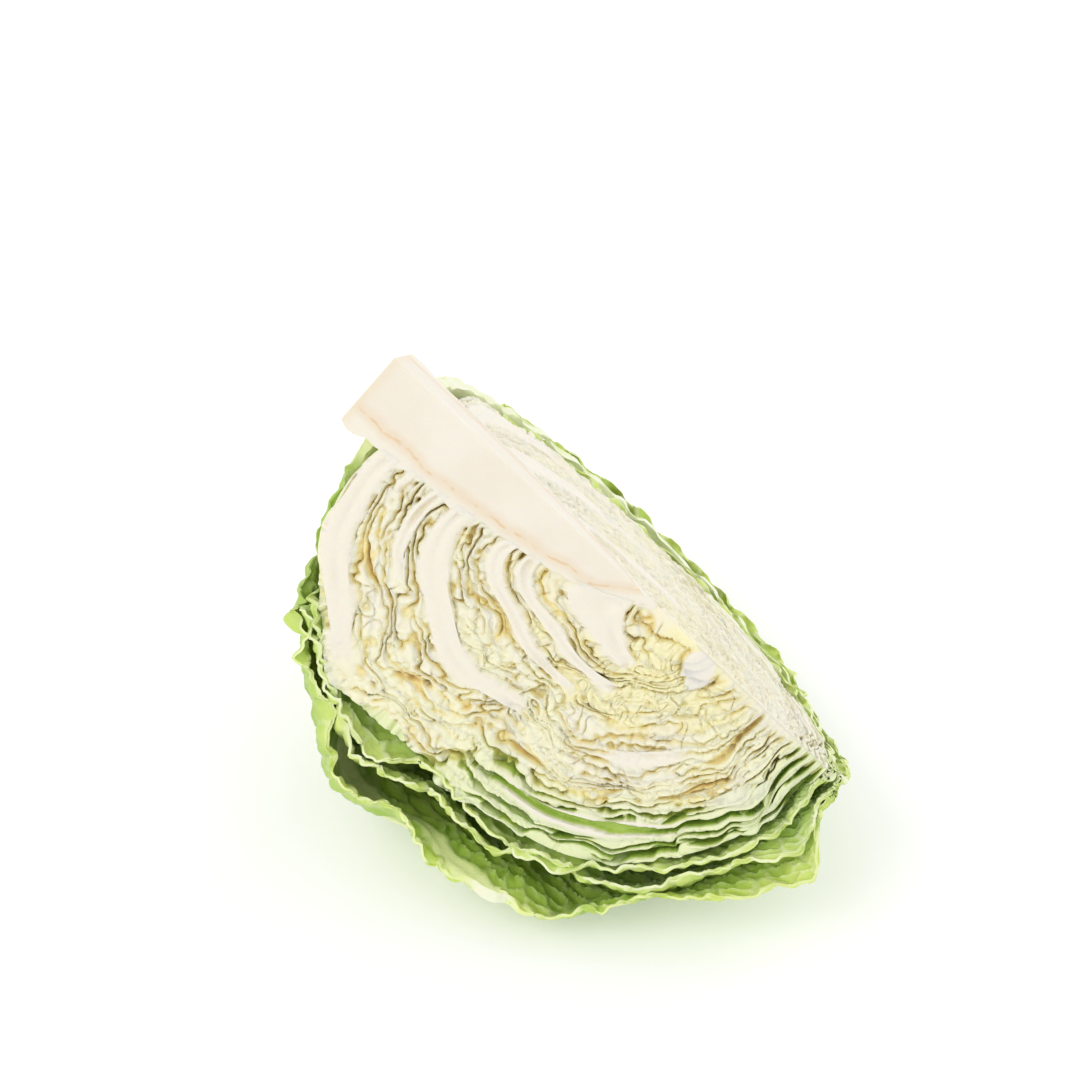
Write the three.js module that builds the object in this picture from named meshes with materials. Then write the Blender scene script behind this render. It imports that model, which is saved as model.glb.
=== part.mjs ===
// A quarter of a savoy cabbage, cut lengthwise: a tapered core with nested leaves around it.
// Millimetres, +Z up. The quarter lies on its rounded back with both cut faces up.
//
// The head's own frame: u runs along the axis from the cut stem end (0) to the top of the head,
// and a direction round the axis is an angle, 0 on the front cut face and 90 degrees on the other.
// Each leaf follows an arch in every half plane through the axis. It leaves the core, swings out
// over the shoulder of the head and comes back to the axis near the top.
import * as THREE from "three";
import { mergeVertices } from "three/addons/utils/BufferGeometryUtils.js";

// ---- Driving dimensions ----
const OUTER_RADIUS = 98; // outside of the outermost leaf at the shoulder
const HEART_RADIUS = 6.5; // inside of the innermost leaf
const CORE_TIP = 97; // length of the core along the axis
const CUT_CLEARANCE = 0.6; // between neighbouring leaves
const CORE_CLEARANCE = 0.8; // between a leaf base and the core
const BLADE = 1.0; // thickness of a leaf away from its rib
const AXIS_CLEARANCE = 1.4; // how close the leaf ends come to the axis
const YAW = -31; // heading of the axis, degrees from +X
const PITCH = 30; // how far the top of the head leans down, degrees
const ROLL = 40; // angle round the axis that faces the ground, degrees
const AXIS_MIDDLE = 75; // the point of the axis that the resting place is given for
const MIDDLE_OVER_REST = new THREE.Vector3(6, -6, 98.5); // from the resting spot up to that point

const SPOT_RADIUS = 36; // of the resting spot
const PRESSED_PITCH = 1.2; // from one leaf face to the next where the leaves are pressed together

// The arches, from the heart (small shoulder radius) to the outside (large shoulder radius).
const SHOULDER_RADIUS = [6, 24, 34, 57, 89, 98];
const START_ALONG = [97, 90, 72, 41, 12, 6]; // where the arch leaves the core
const SHOULDER_ALONG = [107, 105, 96, 90, 85, 91]; // where it is widest
const END_ALONG = [114, 120, 126, 141, 162, 168]; // where it comes back to the axis
const LOWER_ROUNDNESS = [2, 2, 1.9, 1.75, 2, 2.1]; // 1 is a straight line and 2 a quarter ellipse
const UPPER_ROUNDNESS = [2, 2, 2, 1.9, 2, 2.2];

// Outside of the core along the axis: a flared stump with the stubs of removed leaves, then a taper.
const CORE_ALONG = [0, 5, 10, 25, 50, 70, 85, 97];
const CORE_RADIUS = [22.5, 23.5, 22, 20, 17, 13, 8, 1.6];

// Leaves from the outside in. The rib runs from an angle at the base to an angle at the tip.
// start is how far up its arch the blade begins beside the rib, and room weighs the gap inside it.
const LEAVES = [
  { name: "wrapper_leaf_1", ribFrom: 52, ribTo: -12, rib: 6.0, start: 0.2, room: 4.0 },
  { name: "wrapper_leaf_2", ribFrom: 84, ribTo: 96, rib: 6.0, start: 0.16, room: 4.2 },
  { name: "wrapper_leaf_3", ribFrom: 30, ribTo: 64, rib: 6.0, start: 0.13, room: 3.4 },
  { name: "head_leaf_01", ribFrom: 0, ribTo: -24, rib: 8.2, start: 0.03, room: 1.3 },
  { name: "head_leaf_02", ribFrom: 95, ribTo: 90, rib: 8.0, start: 0.07, room: 1.2 },
  { name: "head_leaf_03", ribFrom: -40, ribTo: 38, rib: 7.5, start: 0.07, room: 1.1 },
  { name: "head_leaf_04", ribFrom: 48, ribTo: 58, rib: 7.0, start: 0.06, room: 1.0 },
  { name: "head_leaf_05", ribFrom: -16, ribTo: -30, rib: 5.5, start: 0.05, room: 1.0 },
  { name: "head_leaf_06", ribFrom: 92, ribTo: 104, rib: 8.5, start: 0.06, room: 1.0 },
  { name: "head_leaf_07", ribFrom: 1, ribTo: -18, rib: 9.6, start: 0.02, room: 1.0 },
  { name: "head_leaf_08", ribFrom: 125, ribTo: 100, rib: 5.5, start: 0.06, room: 1.0 },
  { name: "head_leaf_09", ribFrom: -62, ribTo: 20, rib: 8.0, start: 0.06, room: 0.9 },
  { name: "head_leaf_10", ribFrom: 60, ribTo: 70, rib: 6.0, start: 0.05, room: 0.9 },
  { name: "head_leaf_11", ribFrom: 12, ribTo: 0, rib: 5.4, start: 0.03, room: 0.9 },
  { name: "head_leaf_12", ribFrom: 90, ribTo: 82, rib: 7.4, start: 0.05, room: 0.9 },
  { name: "head_leaf_13", ribFrom: -2, ribTo: -12, rib: 7.5, start: 0.02, room: 0.9 },
  { name: "head_leaf_14", ribFrom: 60, ribTo: 60, rib: 4.0, start: 0.02, room: 0.8 },
  { name: "head_leaf_15", ribFrom: 4, ribTo: 14, rib: 5.5, start: 0.02, room: 0.8 },
  { name: "heart_leaf_1", ribFrom: 70, ribTo: 90, rib: 3.0, start: 0.03, room: 0.7 },
  { name: "heart_leaf_2", ribFrom: 10, ribTo: 20, rib: 2.0, start: 0.03, room: 0.7 },
];
const WRAPPERS = 3; // the first ones of these are loose
const ROOMY_FROM = 0.3; // share of the arch past which the wrappers stand off from each other
const RIB_BASE_WIDTH = 13; // half width of a rib where it leaves the core
const RIB_TIP_WIDTH = 4;
const RIB_TAPER = 0.8; // 1 would thin the ribs evenly toward the tip
const FREE_EDGE_SPREAD = 35; // degrees from the rib over which the blade's lower edge climbs
const MOST_FILLED = 0.85; // of the room between heart and outside, the part that leaves may take
const LEAST_SPREAD = 0.25; // see spread()

const LEAF_ROWS = 16; // grid steps along an arch
const FREE_ROWS = 4; // of these, the steps beside the free lower edge of a blade
const FIRST_SHARE = 0.004; // the part of its arch that a leaf takes up
const LAST_SHARE = 0.985;
const LEAF_COLUMNS = 6; // grid steps round the quarter

// ---- Arches ----
const degrees = Math.PI / 180;
const clamp01 = (x) => Math.min(1, Math.max(0, x));
const smooth = (x) => clamp01(x) ** 2 * (3 - 2 * clamp01(x));

function between(xs, ys, x) {
  let i = 1;
  while (i < xs.length - 1 && x > xs[i]) i++;
  return ys[i - 1] + ((ys[i] - ys[i - 1]) * (x - xs[i - 1])) / (xs[i] - xs[i - 1]);
}

const coreRadius = (u) => between(CORE_ALONG, CORE_RADIUS, Math.min(u, CORE_TIP));

// A point of the arch with that shoulder radius: share 0 is on the core, 0.5 the shoulder, 1 the axis.
// Both halves are quarters of a superellipse.
function arch(share, radius) {
  const start = between(SHOULDER_RADIUS, START_ALONG, radius);
  const shoulder = between(SHOULDER_RADIUS, SHOULDER_ALONG, radius);
  const angle = Math.PI * share;
  if (share <= 0.5) {
    const power = 2 / between(SHOULDER_RADIUS, LOWER_ROUNDNESS, radius);
    const foot = coreRadius(start) + CORE_CLEARANCE;
    return new THREE.Vector2(
      shoulder - (shoulder - start) * Math.max(0, Math.cos(angle)) ** power,
      foot + (radius - foot) * Math.sin(angle) ** power,
    );
  }
  const power = 2 / between(SHOULDER_RADIUS, UPPER_ROUNDNESS, radius);
  const end = between(SHOULDER_RADIUS, END_ALONG, radius);
  return new THREE.Vector2(
    shoulder + (end - shoulder) * Math.max(0, -Math.cos(angle)) ** power,
    Math.max(AXIS_CLEARANCE, radius * Math.max(0, Math.sin(angle)) ** power),
  );
}

// How far apart two arches lie, measured square to them, per millimetre of shoulder radius.
function spread(share, radius) {
  const step = 0.5;
  const along = arch(Math.min(1, share + 0.01), radius).sub(arch(Math.max(0, share - 0.01), radius));
  const across = arch(share, radius + step).sub(arch(share, radius - step)).divideScalar(2 * step);
  return Math.max(LEAST_SPREAD, Math.abs(along.normalize().cross(across)));
}

// ---- Thickness and stacking ----
// A rib is thickest at the base and fades by the tip, and it thins out to the blade on both sides.
function thickness(leaf, share, angle) {
  const radius = Math.max(CORE_RADIUS[0], arch(share, OUTER_RADIUS).y) * 0.6;
  const distance = radius * (angle - ribAngle(leaf, share)) * degrees;
  const width = RIB_TIP_WIDTH + (RIB_BASE_WIDTH - RIB_TIP_WIDTH) * (1 - share);
  const height = leaf.rib * (1 - share) ** RIB_TAPER;
  return BLADE + height * Math.exp(-((distance / width) ** 2));
}

const ribAngle = (leaf, share) => leaf.ribFrom + (leaf.ribTo - leaf.ribFrom) * share;

// The shoulder radii of the two faces of every leaf at one place: thicknesses first, and then the
// room that is left is shared out as gaps.
function stack(share, angle) {
  const pitch = (OUTER_RADIUS - HEART_RADIUS) / LEAVES.length;
  const nominal = LEAVES.map((_, i) => OUTER_RADIUS - (i + 0.5) * pitch);
  const spreads = nominal.map((radius) => spread(share, radius));
  const roomy = smooth((share - ROOMY_FROM) / 0.2);
  const rooms = LEAVES.map((leaf, i) => (i < WRAPPERS ? 1 + (leaf.room - 1) * roomy : leaf.room));
  let solids = LEAVES.map((leaf, i) => thickness(leaf, share, angle) / spreads[i]);
  const gaps = spreads.map((s) => CUT_CLEARANCE / s);
  const sum = (list) => list.reduce((a, b) => a + b, 0);
  const available = OUTER_RADIUS - HEART_RADIUS - sum(gaps);
  const squeeze = Math.min(1, (MOST_FILLED * available) / sum(solids));
  solids = solids.map((s) => s * squeeze);
  const spare = (available - sum(solids)) / sum(rooms);
  const faces = [];
  let radius = OUTER_RADIUS;
  LEAVES.forEach((_, i) => {
    const inner = radius - solids[i];
    faces.push([radius, inner]);
    radius = inner - gaps[i] - spare * rooms[i];
  });
  return faces;
}

// ---- The resting place ----
const axis = new THREE.Vector3(
  Math.cos(PITCH * degrees) * Math.cos(YAW * degrees),
  Math.cos(PITCH * degrees) * Math.sin(YAW * degrees),
  -Math.sin(PITCH * degrees),
);
const downAcross = new THREE.Vector3(0, 0, -1).addScaledVector(axis, axis.z).normalize();
const level = new THREE.Vector3().crossVectors(axis, downAcross);
const front = downAcross.clone().applyAxisAngle(axis, -ROLL * degrees);
const side = level.clone().applyAxisAngle(axis, -ROLL * degrees);
const headToRow = new THREE.Matrix4().makeBasis(axis, front, side);
const upInHead = new THREE.Vector3(axis.z, front.z, side.z);

const head = new THREE.Group();
head.name = "head";
head.quaternion.setFromRotationMatrix(headToRow);
head.position.copy(MIDDLE_OVER_REST).addScaledVector(axis, -AXIS_MIDDLE);

// The weight of the head presses its underside flat: no point of a face lies under that face's floor.
// The soft outermost leaf also sags onto the surface all over the resting spot.
function press(point, leafIndex, face) {
  const floor = (2 * leafIndex + face) * PRESSED_PITCH;
  const placed = point.clone().applyMatrix4(headToRow).add(head.position);
  const sags = leafIndex === 0 && Math.hypot(placed.x, placed.y) < SPOT_RADIUS;
  return placed.z < floor || sags ? point.addScaledVector(upInHead, floor - placed.z) : point;
}

const AXIS_IN_HEAD = new THREE.Vector3(1, 0, 0);

function inHead(profile, angle) {
  return new THREE.Vector3(profile.x, profile.y, 0).applyAxisAngle(AXIS_IN_HEAD, angle * degrees);
}

// ---- Meshes ----
// A closed shell from two grids of points, outer and inner, joined along their four edges.
// Where corners of a quad lie in one place, only its real triangles are kept.
function shell(outer, inner) {
  const rows = outer.length;
  const columns = outer[0].length;
  const points = [...outer.flat(), ...inner.flat()];
  const at = (layer, r, c) => (layer * rows + r) * columns + c;
  const faces = [];
  const triangle = (a, b, c) => {
    const closed = points[a].equals(points[b]) || points[b].equals(points[c]) || points[c].equals(points[a]);
    if (!closed) faces.push(a, b, c);
  };
  const quad = (a, b, c, d) => {
    triangle(a, b, c);
    triangle(a, c, d);
  };
  for (let r = 0; r < rows - 1; r++)
    for (let c = 0; c < columns - 1; c++) {
      quad(at(0, r, c), at(0, r, c + 1), at(0, r + 1, c + 1), at(0, r + 1, c));
      quad(at(1, r, c), at(1, r + 1, c), at(1, r + 1, c + 1), at(1, r, c + 1));
    }
  for (let r = 0; r < rows - 1; r++) {
    const last = columns - 1;
    quad(at(0, r, 0), at(0, r + 1, 0), at(1, r + 1, 0), at(1, r, 0));
    quad(at(0, r, last), at(1, r, last), at(1, r + 1, last), at(0, r + 1, last));
  }
  for (let c = 0; c < columns - 1; c++) {
    const last = rows - 1;
    quad(at(0, 0, c), at(1, 0, c), at(1, 0, c + 1), at(0, 0, c + 1));
    quad(at(0, last, c), at(0, last, c + 1), at(1, last, c + 1), at(1, last, c));
  }
  const geometry = new THREE.BufferGeometry();
  geometry.setAttribute("position", new THREE.Float32BufferAttribute(points.flatMap((p) => p.toArray()), 3));
  geometry.setIndex(faces);
  return geometry;
}

// Beside its rib a blade begins further up the arch, with a free lower edge. Above the free rows all
// leaves share the same rows, so that they nest.
function shareAt(leaf, row, angle) {
  const shared = LAST_SHARE * (Math.max(row, FREE_ROWS) / LEAF_ROWS);
  const beside = 1 - Math.exp(-(((angle - leaf.ribFrom) / FREE_EDGE_SPREAD) ** 2));
  const first = FIRST_SHARE + leaf.start * beside;
  return row < FREE_ROWS ? first + (shared - first) * (row / FREE_ROWS) : shared;
}

function leafGeometry(index) {
  const leaf = LEAVES[index];
  const grid = (face) =>
    Array.from({ length: LEAF_ROWS + 1 }, (_, row) =>
      Array.from({ length: LEAF_COLUMNS + 1 }, (_, column) => {
        const angle = (90 * column) / LEAF_COLUMNS;
        const share = shareAt(leaf, row, angle);
        const point = inHead(arch(share, stack(share, angle)[index][face]), angle);
        return press(point, index, face);
      }),
    );
  return shell(grid(0), grid(1));
}

// The core: its outline turned through the quarter, closed on the axis, with both cut faces flat.
function coreGeometry() {
  const ring = (u, radius) =>
    Array.from({ length: LEAF_COLUMNS + 1 }, (_, column) =>
      inHead(new THREE.Vector2(u, radius), (90 * column) / LEAF_COLUMNS),
    );
  return shell(CORE_ALONG.map((u, i) => ring(u, CORE_RADIUS[i])), CORE_ALONG.map((u) => ring(u, 0)));
}

// ---- Colours and the finished group ----
const WRAPPER_GREEN = new THREE.Color(0.3, 0.5, 0.1);
const HEART_YELLOW = new THREE.Color(0.93, 0.9, 0.62);
const CORE_CREAM = new THREE.Color(0.96, 0.92, 0.83);

function addPiece(name, geometry, color) {
  const material = new THREE.MeshStandardMaterial({ color, roughness: 0.55, metalness: 0 });
  const mesh = new THREE.Mesh(mergeVertices(geometry), material);
  mesh.name = name;
  head.add(mesh);
}

addPiece("core", coreGeometry(), CORE_CREAM);
LEAVES.forEach((leaf, i) => {
  const color = WRAPPER_GREEN.clone().lerp(HEART_YELLOW, Math.min(1, i / 7));
  addPiece(leaf.name, leafGeometry(i), color);
});

const cabbageQuarter = new THREE.Group();
cabbageQuarter.name = "savoy_cabbage_quarter";
cabbageQuarter.add(head);

export default cabbageQuarter;
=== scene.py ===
import bmesh
import bpy
import numpy as np
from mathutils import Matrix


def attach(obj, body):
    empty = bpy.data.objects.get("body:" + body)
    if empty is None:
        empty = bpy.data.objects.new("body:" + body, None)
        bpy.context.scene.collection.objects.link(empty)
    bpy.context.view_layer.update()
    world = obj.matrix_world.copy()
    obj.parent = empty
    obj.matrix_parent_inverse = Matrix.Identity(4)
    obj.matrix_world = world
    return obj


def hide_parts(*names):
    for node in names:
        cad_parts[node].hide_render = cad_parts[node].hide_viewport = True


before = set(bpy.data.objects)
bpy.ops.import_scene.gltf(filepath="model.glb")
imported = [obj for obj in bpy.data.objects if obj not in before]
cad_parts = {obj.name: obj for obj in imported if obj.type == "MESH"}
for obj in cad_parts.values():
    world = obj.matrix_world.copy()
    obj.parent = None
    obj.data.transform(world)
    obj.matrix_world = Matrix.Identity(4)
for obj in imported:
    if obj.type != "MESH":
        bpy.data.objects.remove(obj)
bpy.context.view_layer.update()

# The quarter lies on its leafy back, its axis falling away to the right, and it is looked down on
# from the front. Millimetres are worked in throughout and turned into metres when a mesh is made.
MM = 0.001
AXIS_YAW, AXIS_PITCH, AXIS_ROLL = np.radians((-31, -30, 40))
AXIS_POINT = 75.0  # this far along the axis from the cut stem end
AXIS_POINT_PLACE = np.array((6.0, -6.0, 98.5))  # from the resting spot
CAMERA_ELEVATION = np.radians(42)
CAMERA_TURN = np.radians(2)  # the camera stands this far round to the right of straight in front
CAMERA_DISTANCE = 690.0
CAMERA_AIM = (62.0, 9.0, 0.0)  # a point of the large cut face, in the head's own frame


def head_axes():
    """The head's three directions as rows: along its axis, and across it to either cut face.
    The axis is turned by its yaw and pitch, and the other two are rolled about it from straight down."""
    level_part = np.cos(AXIS_PITCH)
    along = np.array((level_part * np.cos(AXIS_YAW), level_part * np.sin(AXIS_YAW), np.sin(AXIS_PITCH)))
    down = np.array((0, 0, -1)) + along * along[2]
    down /= np.linalg.norm(down)
    level = np.cross(along, down)
    front = down * np.cos(AXIS_ROLL) - level * np.sin(AXIS_ROLL)
    side = down * np.sin(AXIS_ROLL) + level * np.cos(AXIS_ROLL)
    return np.array((along, front, side))


HEAD = head_axes()


def to_row(points):
    """Points in the head's frame, in mm, to the row's frame, in mm: turned, then moved so that the
    stated point of the axis comes to its place."""
    return (points - np.array((AXIS_POINT, 0, 0))) @ HEAD + AXIS_POINT_PLACE


look = np.array((
    -np.sin(CAMERA_TURN) * np.cos(CAMERA_ELEVATION),
    np.cos(CAMERA_TURN) * np.cos(CAMERA_ELEVATION),
    -np.sin(CAMERA_ELEVATION),
))
camera = bpy.data.objects.new("camera", bpy.data.cameras.new("camera"))
camera.data.lens = 85
camera.data.sensor_width = 36
camera.location = (to_row(np.array(CAMERA_AIM)) - look * CAMERA_DISTANCE) * MM
camera.rotation_euler = (np.pi / 2 - CAMERA_ELEVATION, 0, CAMERA_TURN)
camera.data.clip_start = 0.05
bpy.context.collection.objects.link(camera)
bpy.context.scene.camera = camera

# The stage: a seamless white table and a white tent of light, with one large soft key at the upper left.
scene = bpy.context.scene
scene.view_settings.view_transform = "Standard"
bpy.ops.mesh.primitive_plane_add(size=6.0, location=(0, 0, 0))
floor = bpy.context.object
floor.name = "floor"
floor_material = bpy.data.materials.new("white table")
floor_material.use_nodes = True
floor_shader = floor_material.node_tree.nodes["Principled BSDF"]
floor_shader.inputs["Base Color"].default_value = (0.80, 0.80, 0.80, 1)
floor_shader.inputs["Emission Color"].default_value = (1, 1, 1, 1)
floor_shader.inputs["Emission Strength"].default_value = 0.22
floor_shader.inputs["Roughness"].default_value = 0.9
floor.data.materials.append(floor_material)

world = bpy.data.worlds.new("white tent")
world.use_nodes = True
world.node_tree.nodes["Background"].inputs["Color"].default_value = (1, 1, 1, 1)
world.node_tree.nodes["Background"].inputs["Strength"].default_value = 0.82
scene.world = world


def softbox(name, place, size, watts, aim=(0, 0, 0.05)):
    """A square area light at a place in metres, turned to face the aim point."""
    light = bpy.data.lights.new(name, "AREA")
    light.size = size
    light.energy = watts
    holder = bpy.data.objects.new(name, light)
    holder.location = place
    direction = np.array(aim) - np.array(place)
    tilt = np.arctan2(np.hypot(direction[0], direction[1]), -direction[2])
    holder.rotation_euler = (tilt, 0, np.arctan2(direction[1], direction[0]) - np.pi / 2)
    bpy.context.collection.objects.link(holder)


softbox("key", (-0.9, -0.7, 1.3), 0.9, 7)
softbox("fill", (1.1, -0.8, 0.9), 1.2, 2)
softbox("back", (0.9, 1.0, 1.1), 1.0, 6)

# The core is the head's stem: solid ivory pith inside a thin ring of orange-brown vessels, and a pale
# rind outside that, which the leaf bases grow from. It was cut across at the stump and twice lengthwise.
CORE_ALONG = (0, 5, 10, 25, 50, 70, 85, 97)
CORE_RADIUS = (22.5, 23.5, 22, 20, 17, 13, 8, 1.6)
VESSELS_ALONG = (0, 27, 49, 61, 81, 90, 97)
VESSELS_RADIUS = (16.6, 16.6, 14, 11.4, 7.8, 0.5, -6)
PITH = (0.82, 0.755, 0.635)
RIND = (0.84, 0.785, 0.67)
VESSEL_BROWN = (0.76, 0.55, 0.32)
PITH_MOTTLE = (0.84, 0.785, 0.68)
CUT_DRY = (0.80, 0.68, 0.50)
CORE_SEED = 11
CORE_RECESS = 0.2  # its cut faces lie this far under the leaves'
SCARRED_LENGTH = 22  # from the stump, where the stubs of leaves that were pulled off show
SHARP_ANGLE = np.radians(50)


def waves(points, length, seed, count=26):
    """A smooth random field with one typical wavelength, and its gradient. It is a sum of cosines
    whose directions and phases are random and whose wavelengths lie within a quarter of that length."""
    rng = np.random.default_rng(seed)
    direction = rng.normal(size=(count, 3))
    direction /= np.linalg.norm(direction, axis=1)[:, None]
    wave = direction * (2 * np.pi / (length * rng.uniform(0.78, 1.28, count)))[:, None]
    phase = rng.uniform(0, 2 * np.pi, count)
    turn = points @ wave.T + phase
    scale = np.sqrt(2 / count)
    return np.cos(turn).sum(-1) * scale, -(np.sin(turn) @ wave) * scale


def crease_cut_edges(mesh):
    """Marks an edge sharp where the faces beside it have different materials or meet too steeply."""
    mesh.set_sharp_from_angle(angle=SHARP_ANGLE)
    edges = np.zeros(len(mesh.loops), int)
    mesh.loops.foreach_get("edge_index", edges)
    sides, kinds = np.zeros(len(mesh.polygons), int), np.zeros(len(mesh.polygons), int)
    mesh.polygons.foreach_get("loop_total", sides)
    mesh.polygons.foreach_get("material_index", kinds)
    kinds = np.repeat(kinds, sides)
    least, most = np.full(len(mesh.edges), 9), np.full(len(mesh.edges), -1)
    np.minimum.at(least, edges, kinds)
    np.maximum.at(most, edges, kinds)
    sharp = np.zeros(len(mesh.edges), bool)
    mesh.edges.foreach_get("use_edge_sharp", sharp)
    mesh.edges.foreach_set("use_edge_sharp", sharp | (least != most))


def make_piece(name, points, faces, cut, fields, node_name):
    """A mesh from points in the head's frame in mm. Faces marked cut take the second material.
    Each field becomes a float attribute of the points."""
    mesh = bpy.data.meshes.new(name)
    mesh.from_pydata(to_row(points) * MM, [], faces)
    mesh.polygons.foreach_set("material_index", cut.astype(np.int32))
    mesh.polygons.foreach_set("use_smooth", np.ones(len(faces), bool))
    for field, values in fields.items():
        layer = mesh.attributes.new(field, "FLOAT", "POINT")
        layer.data.foreach_set("value", values.astype(np.float32).ravel())
    mesh.validate()
    crease_cut_edges(mesh)
    piece = bpy.data.objects.new(name, mesh)
    bpy.context.collection.objects.link(piece)
    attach(piece, "root")
    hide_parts(node_name)
    return piece


def grid_faces(rows, columns, start=0, flip=False):
    """The quads of a grid of points, numbered row by row."""
    corner = start + (np.arange(rows - 1)[:, None] * columns + np.arange(columns - 1)).ravel()
    quads = np.stack((corner, corner + 1, corner + columns + 1, corner + columns), 1)
    return quads[:, ::-1] if flip else quads


def round_axis(along, radius, angle):
    """Points of the head's frame from a distance along the axis, one from it and an angle about it."""
    return np.stack(np.broadcast_arrays(along, radius * np.cos(angle), radius * np.sin(angle)), -1)


def core_grid(rows=130, cap=26, arc=22):
    """Loops round the quarter section of the core, one for each place along it. A loop runs out along
    the front cut face, round the rind and back along the other cut face. Gives the points, their
    distance from the axis and their distance along it."""
    along = np.linspace(0, CORE_ALONG[-1], rows)[:, None]
    out = np.linspace(0, 1, cap)
    share = np.concatenate((out, np.ones(arc - 2), out[::-1]))[None, :]
    turned = np.linspace(0, np.pi / 2, arc)[1:-1]
    angle = np.concatenate((np.zeros(cap), turned, np.full(cap, np.pi / 2)))[None, :]
    radius = np.interp(along, CORE_ALONG, CORE_RADIUS)
    points = round_axis(along + 0 * share, radius * share, angle + 0 * along)
    bumps = waves(points, 14, CORE_SEED)[0] * 0.45 + waves(points, 6, CORE_SEED + 1)[0] * 0.18
    scars = 0.7 * np.clip(np.sin(along * 0.72 + 2.5 * np.sin(angle * 2)), 0, 1)
    scars *= along < SCARRED_LENGTH
    radius = radius + (bumps + scars) * np.clip(along / 4, 0.3, 1)
    bow = 0.5 * waves(points * (1, 0.2, 0.2), 60, CORE_SEED + 2)[0]
    end = np.where(along < 0.1, bow * (1 - share), 0)
    points = round_axis(along + end, radius * share, angle + 0 * along)
    points[..., 1:] = np.maximum(points[..., 1:], CORE_RECESS)
    return points, radius * share, along + 0 * share


def shader(name, roughness, coat=0.0, soft=0.0):
    """A new node material with a moist surface: its roughness, a thin clear coat and a little light
    scattered inside, all set on the shader's own sockets. Gives the material and its node tree."""
    material = bpy.data.materials.new(name)
    material.use_nodes = True
    tree = material.node_tree
    surface = tree.nodes["Principled BSDF"]
    surface.inputs["Roughness"].default_value = roughness
    surface.inputs["Coat Weight"].default_value = coat
    surface.inputs["Coat Roughness"].default_value = 0.3
    surface.inputs["Specular IOR Level"].default_value = 0.4
    surface.inputs["Subsurface Weight"].default_value = soft
    surface.inputs["Subsurface Radius"].default_value = (1.0, 0.75, 0.35)
    surface.inputs["Subsurface Scale"].default_value = 0.0025
    return material, tree


def node(tree, kind, inputs=None, **settings):
    """A shader node with its settings, and each input given as a value or as another node's output."""
    made = tree.nodes.new(kind)
    for key, value in settings.items():
        setattr(made, key, value)
    for key, value in (inputs or {}).items():
        if isinstance(value, bpy.types.NodeSocket):
            tree.links.new(value, made.inputs[key])
        else:
            made.inputs[key].default_value = value
    return made


def attribute(tree, name):
    """The output of one of the mesh's float attributes."""
    return node(tree, "ShaderNodeAttribute", attribute_name=name).outputs["Fac"]


def noise(tree, scale, detail=3.0):
    """Noise on Object coordinates, with its scale per metre, as a socket from 0 to 1."""
    place = node(tree, "ShaderNodeTexCoord").outputs["Object"]
    settings = {"Vector": place, "Scale": scale, "Detail": detail}
    return node(tree, "ShaderNodeTexNoise", settings).outputs["Fac"]


def ramp(tree, value, low, high, start=0.0, end=1.0):
    """A value mapped smoothly from low..high to start..end, and held at the ends."""
    return node(
        tree,
        "ShaderNodeMapRange",
        {"Value": value, "From Min": low, "From Max": high, "To Min": start, "To Max": end},
        interpolation_type="SMOOTHSTEP",
    ).outputs["Result"]


def arith(tree, operation, first, second=0.0, third=0.0):
    """One arithmetic step on sockets or numbers."""
    return node(tree, "ShaderNodeMath", {0: first, 1: second, 2: third}, operation=operation).outputs["Value"]


def blend(tree, share, first, second):
    """The mix of two colours, by a share from 0 to 1."""
    first = (*first, 1) if isinstance(first, tuple) else first
    second = (*second, 1) if isinstance(second, tuple) else second
    return node(tree, "ShaderNodeMix", {"Factor": share, 6: first, 7: second}, data_type="RGBA").outputs[2]


def finish_shader(tree, colour, height, distance):
    """The colour onto the shader, and a bump of that height field, with its depth in metres."""
    surface = tree.nodes["Principled BSDF"]
    tree.links.new(colour, surface.inputs["Base Color"])
    bump = node(tree, "ShaderNodeBump", {"Height": height, "Distance": distance, "Strength": 1.0})
    tree.links.new(bump.outputs["Normal"], surface.inputs["Normal"])


def pith_material():
    """Cut core: ivory pith, a thin wavering line of vessels and a paler rind, drier at the stump."""
    material, tree = shader("cut core", 0.42, coat=0.15, soft=0.12)
    ring = attribute(tree, "ring")
    waver = arith(tree, "MULTIPLY_ADD", noise(tree, 190, 3), 3.2, -1.6)
    line = arith(tree, "ABSOLUTE", arith(tree, "ADD", ring, waver))
    thin = ramp(tree, line, 0.15, 0.75, 1, 0)
    halo = ramp(tree, line, 0.3, 3.2, 0.35, 0)
    patchy = ramp(tree, noise(tree, 260, 2), 0.35, 0.65, 0.25, 0.9)
    stain = arith(tree, "MAXIMUM", arith(tree, "MULTIPLY", thin, patchy), halo)
    mottle = noise(tree, 70, 4)
    pith = blend(tree, ramp(tree, mottle, 0.35, 0.7), PITH, PITH_MOTTLE)
    body = blend(tree, ramp(tree, ring, -1.0, 1.0), pith, RIND)
    colour = blend(tree, stain, body, VESSEL_BROWN)
    dry = ramp(tree, attribute(tree, "along"), 0.0, 3.5, 0.55, 0)
    colour = blend(tree, dry, colour, CUT_DRY)
    grain = arith(tree, "ADD", noise(tree, 900, 3), arith(tree, "MULTIPLY", mottle, 2.0))
    finish_shader(tree, colour, grain, 0.00012)
    return material


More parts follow.
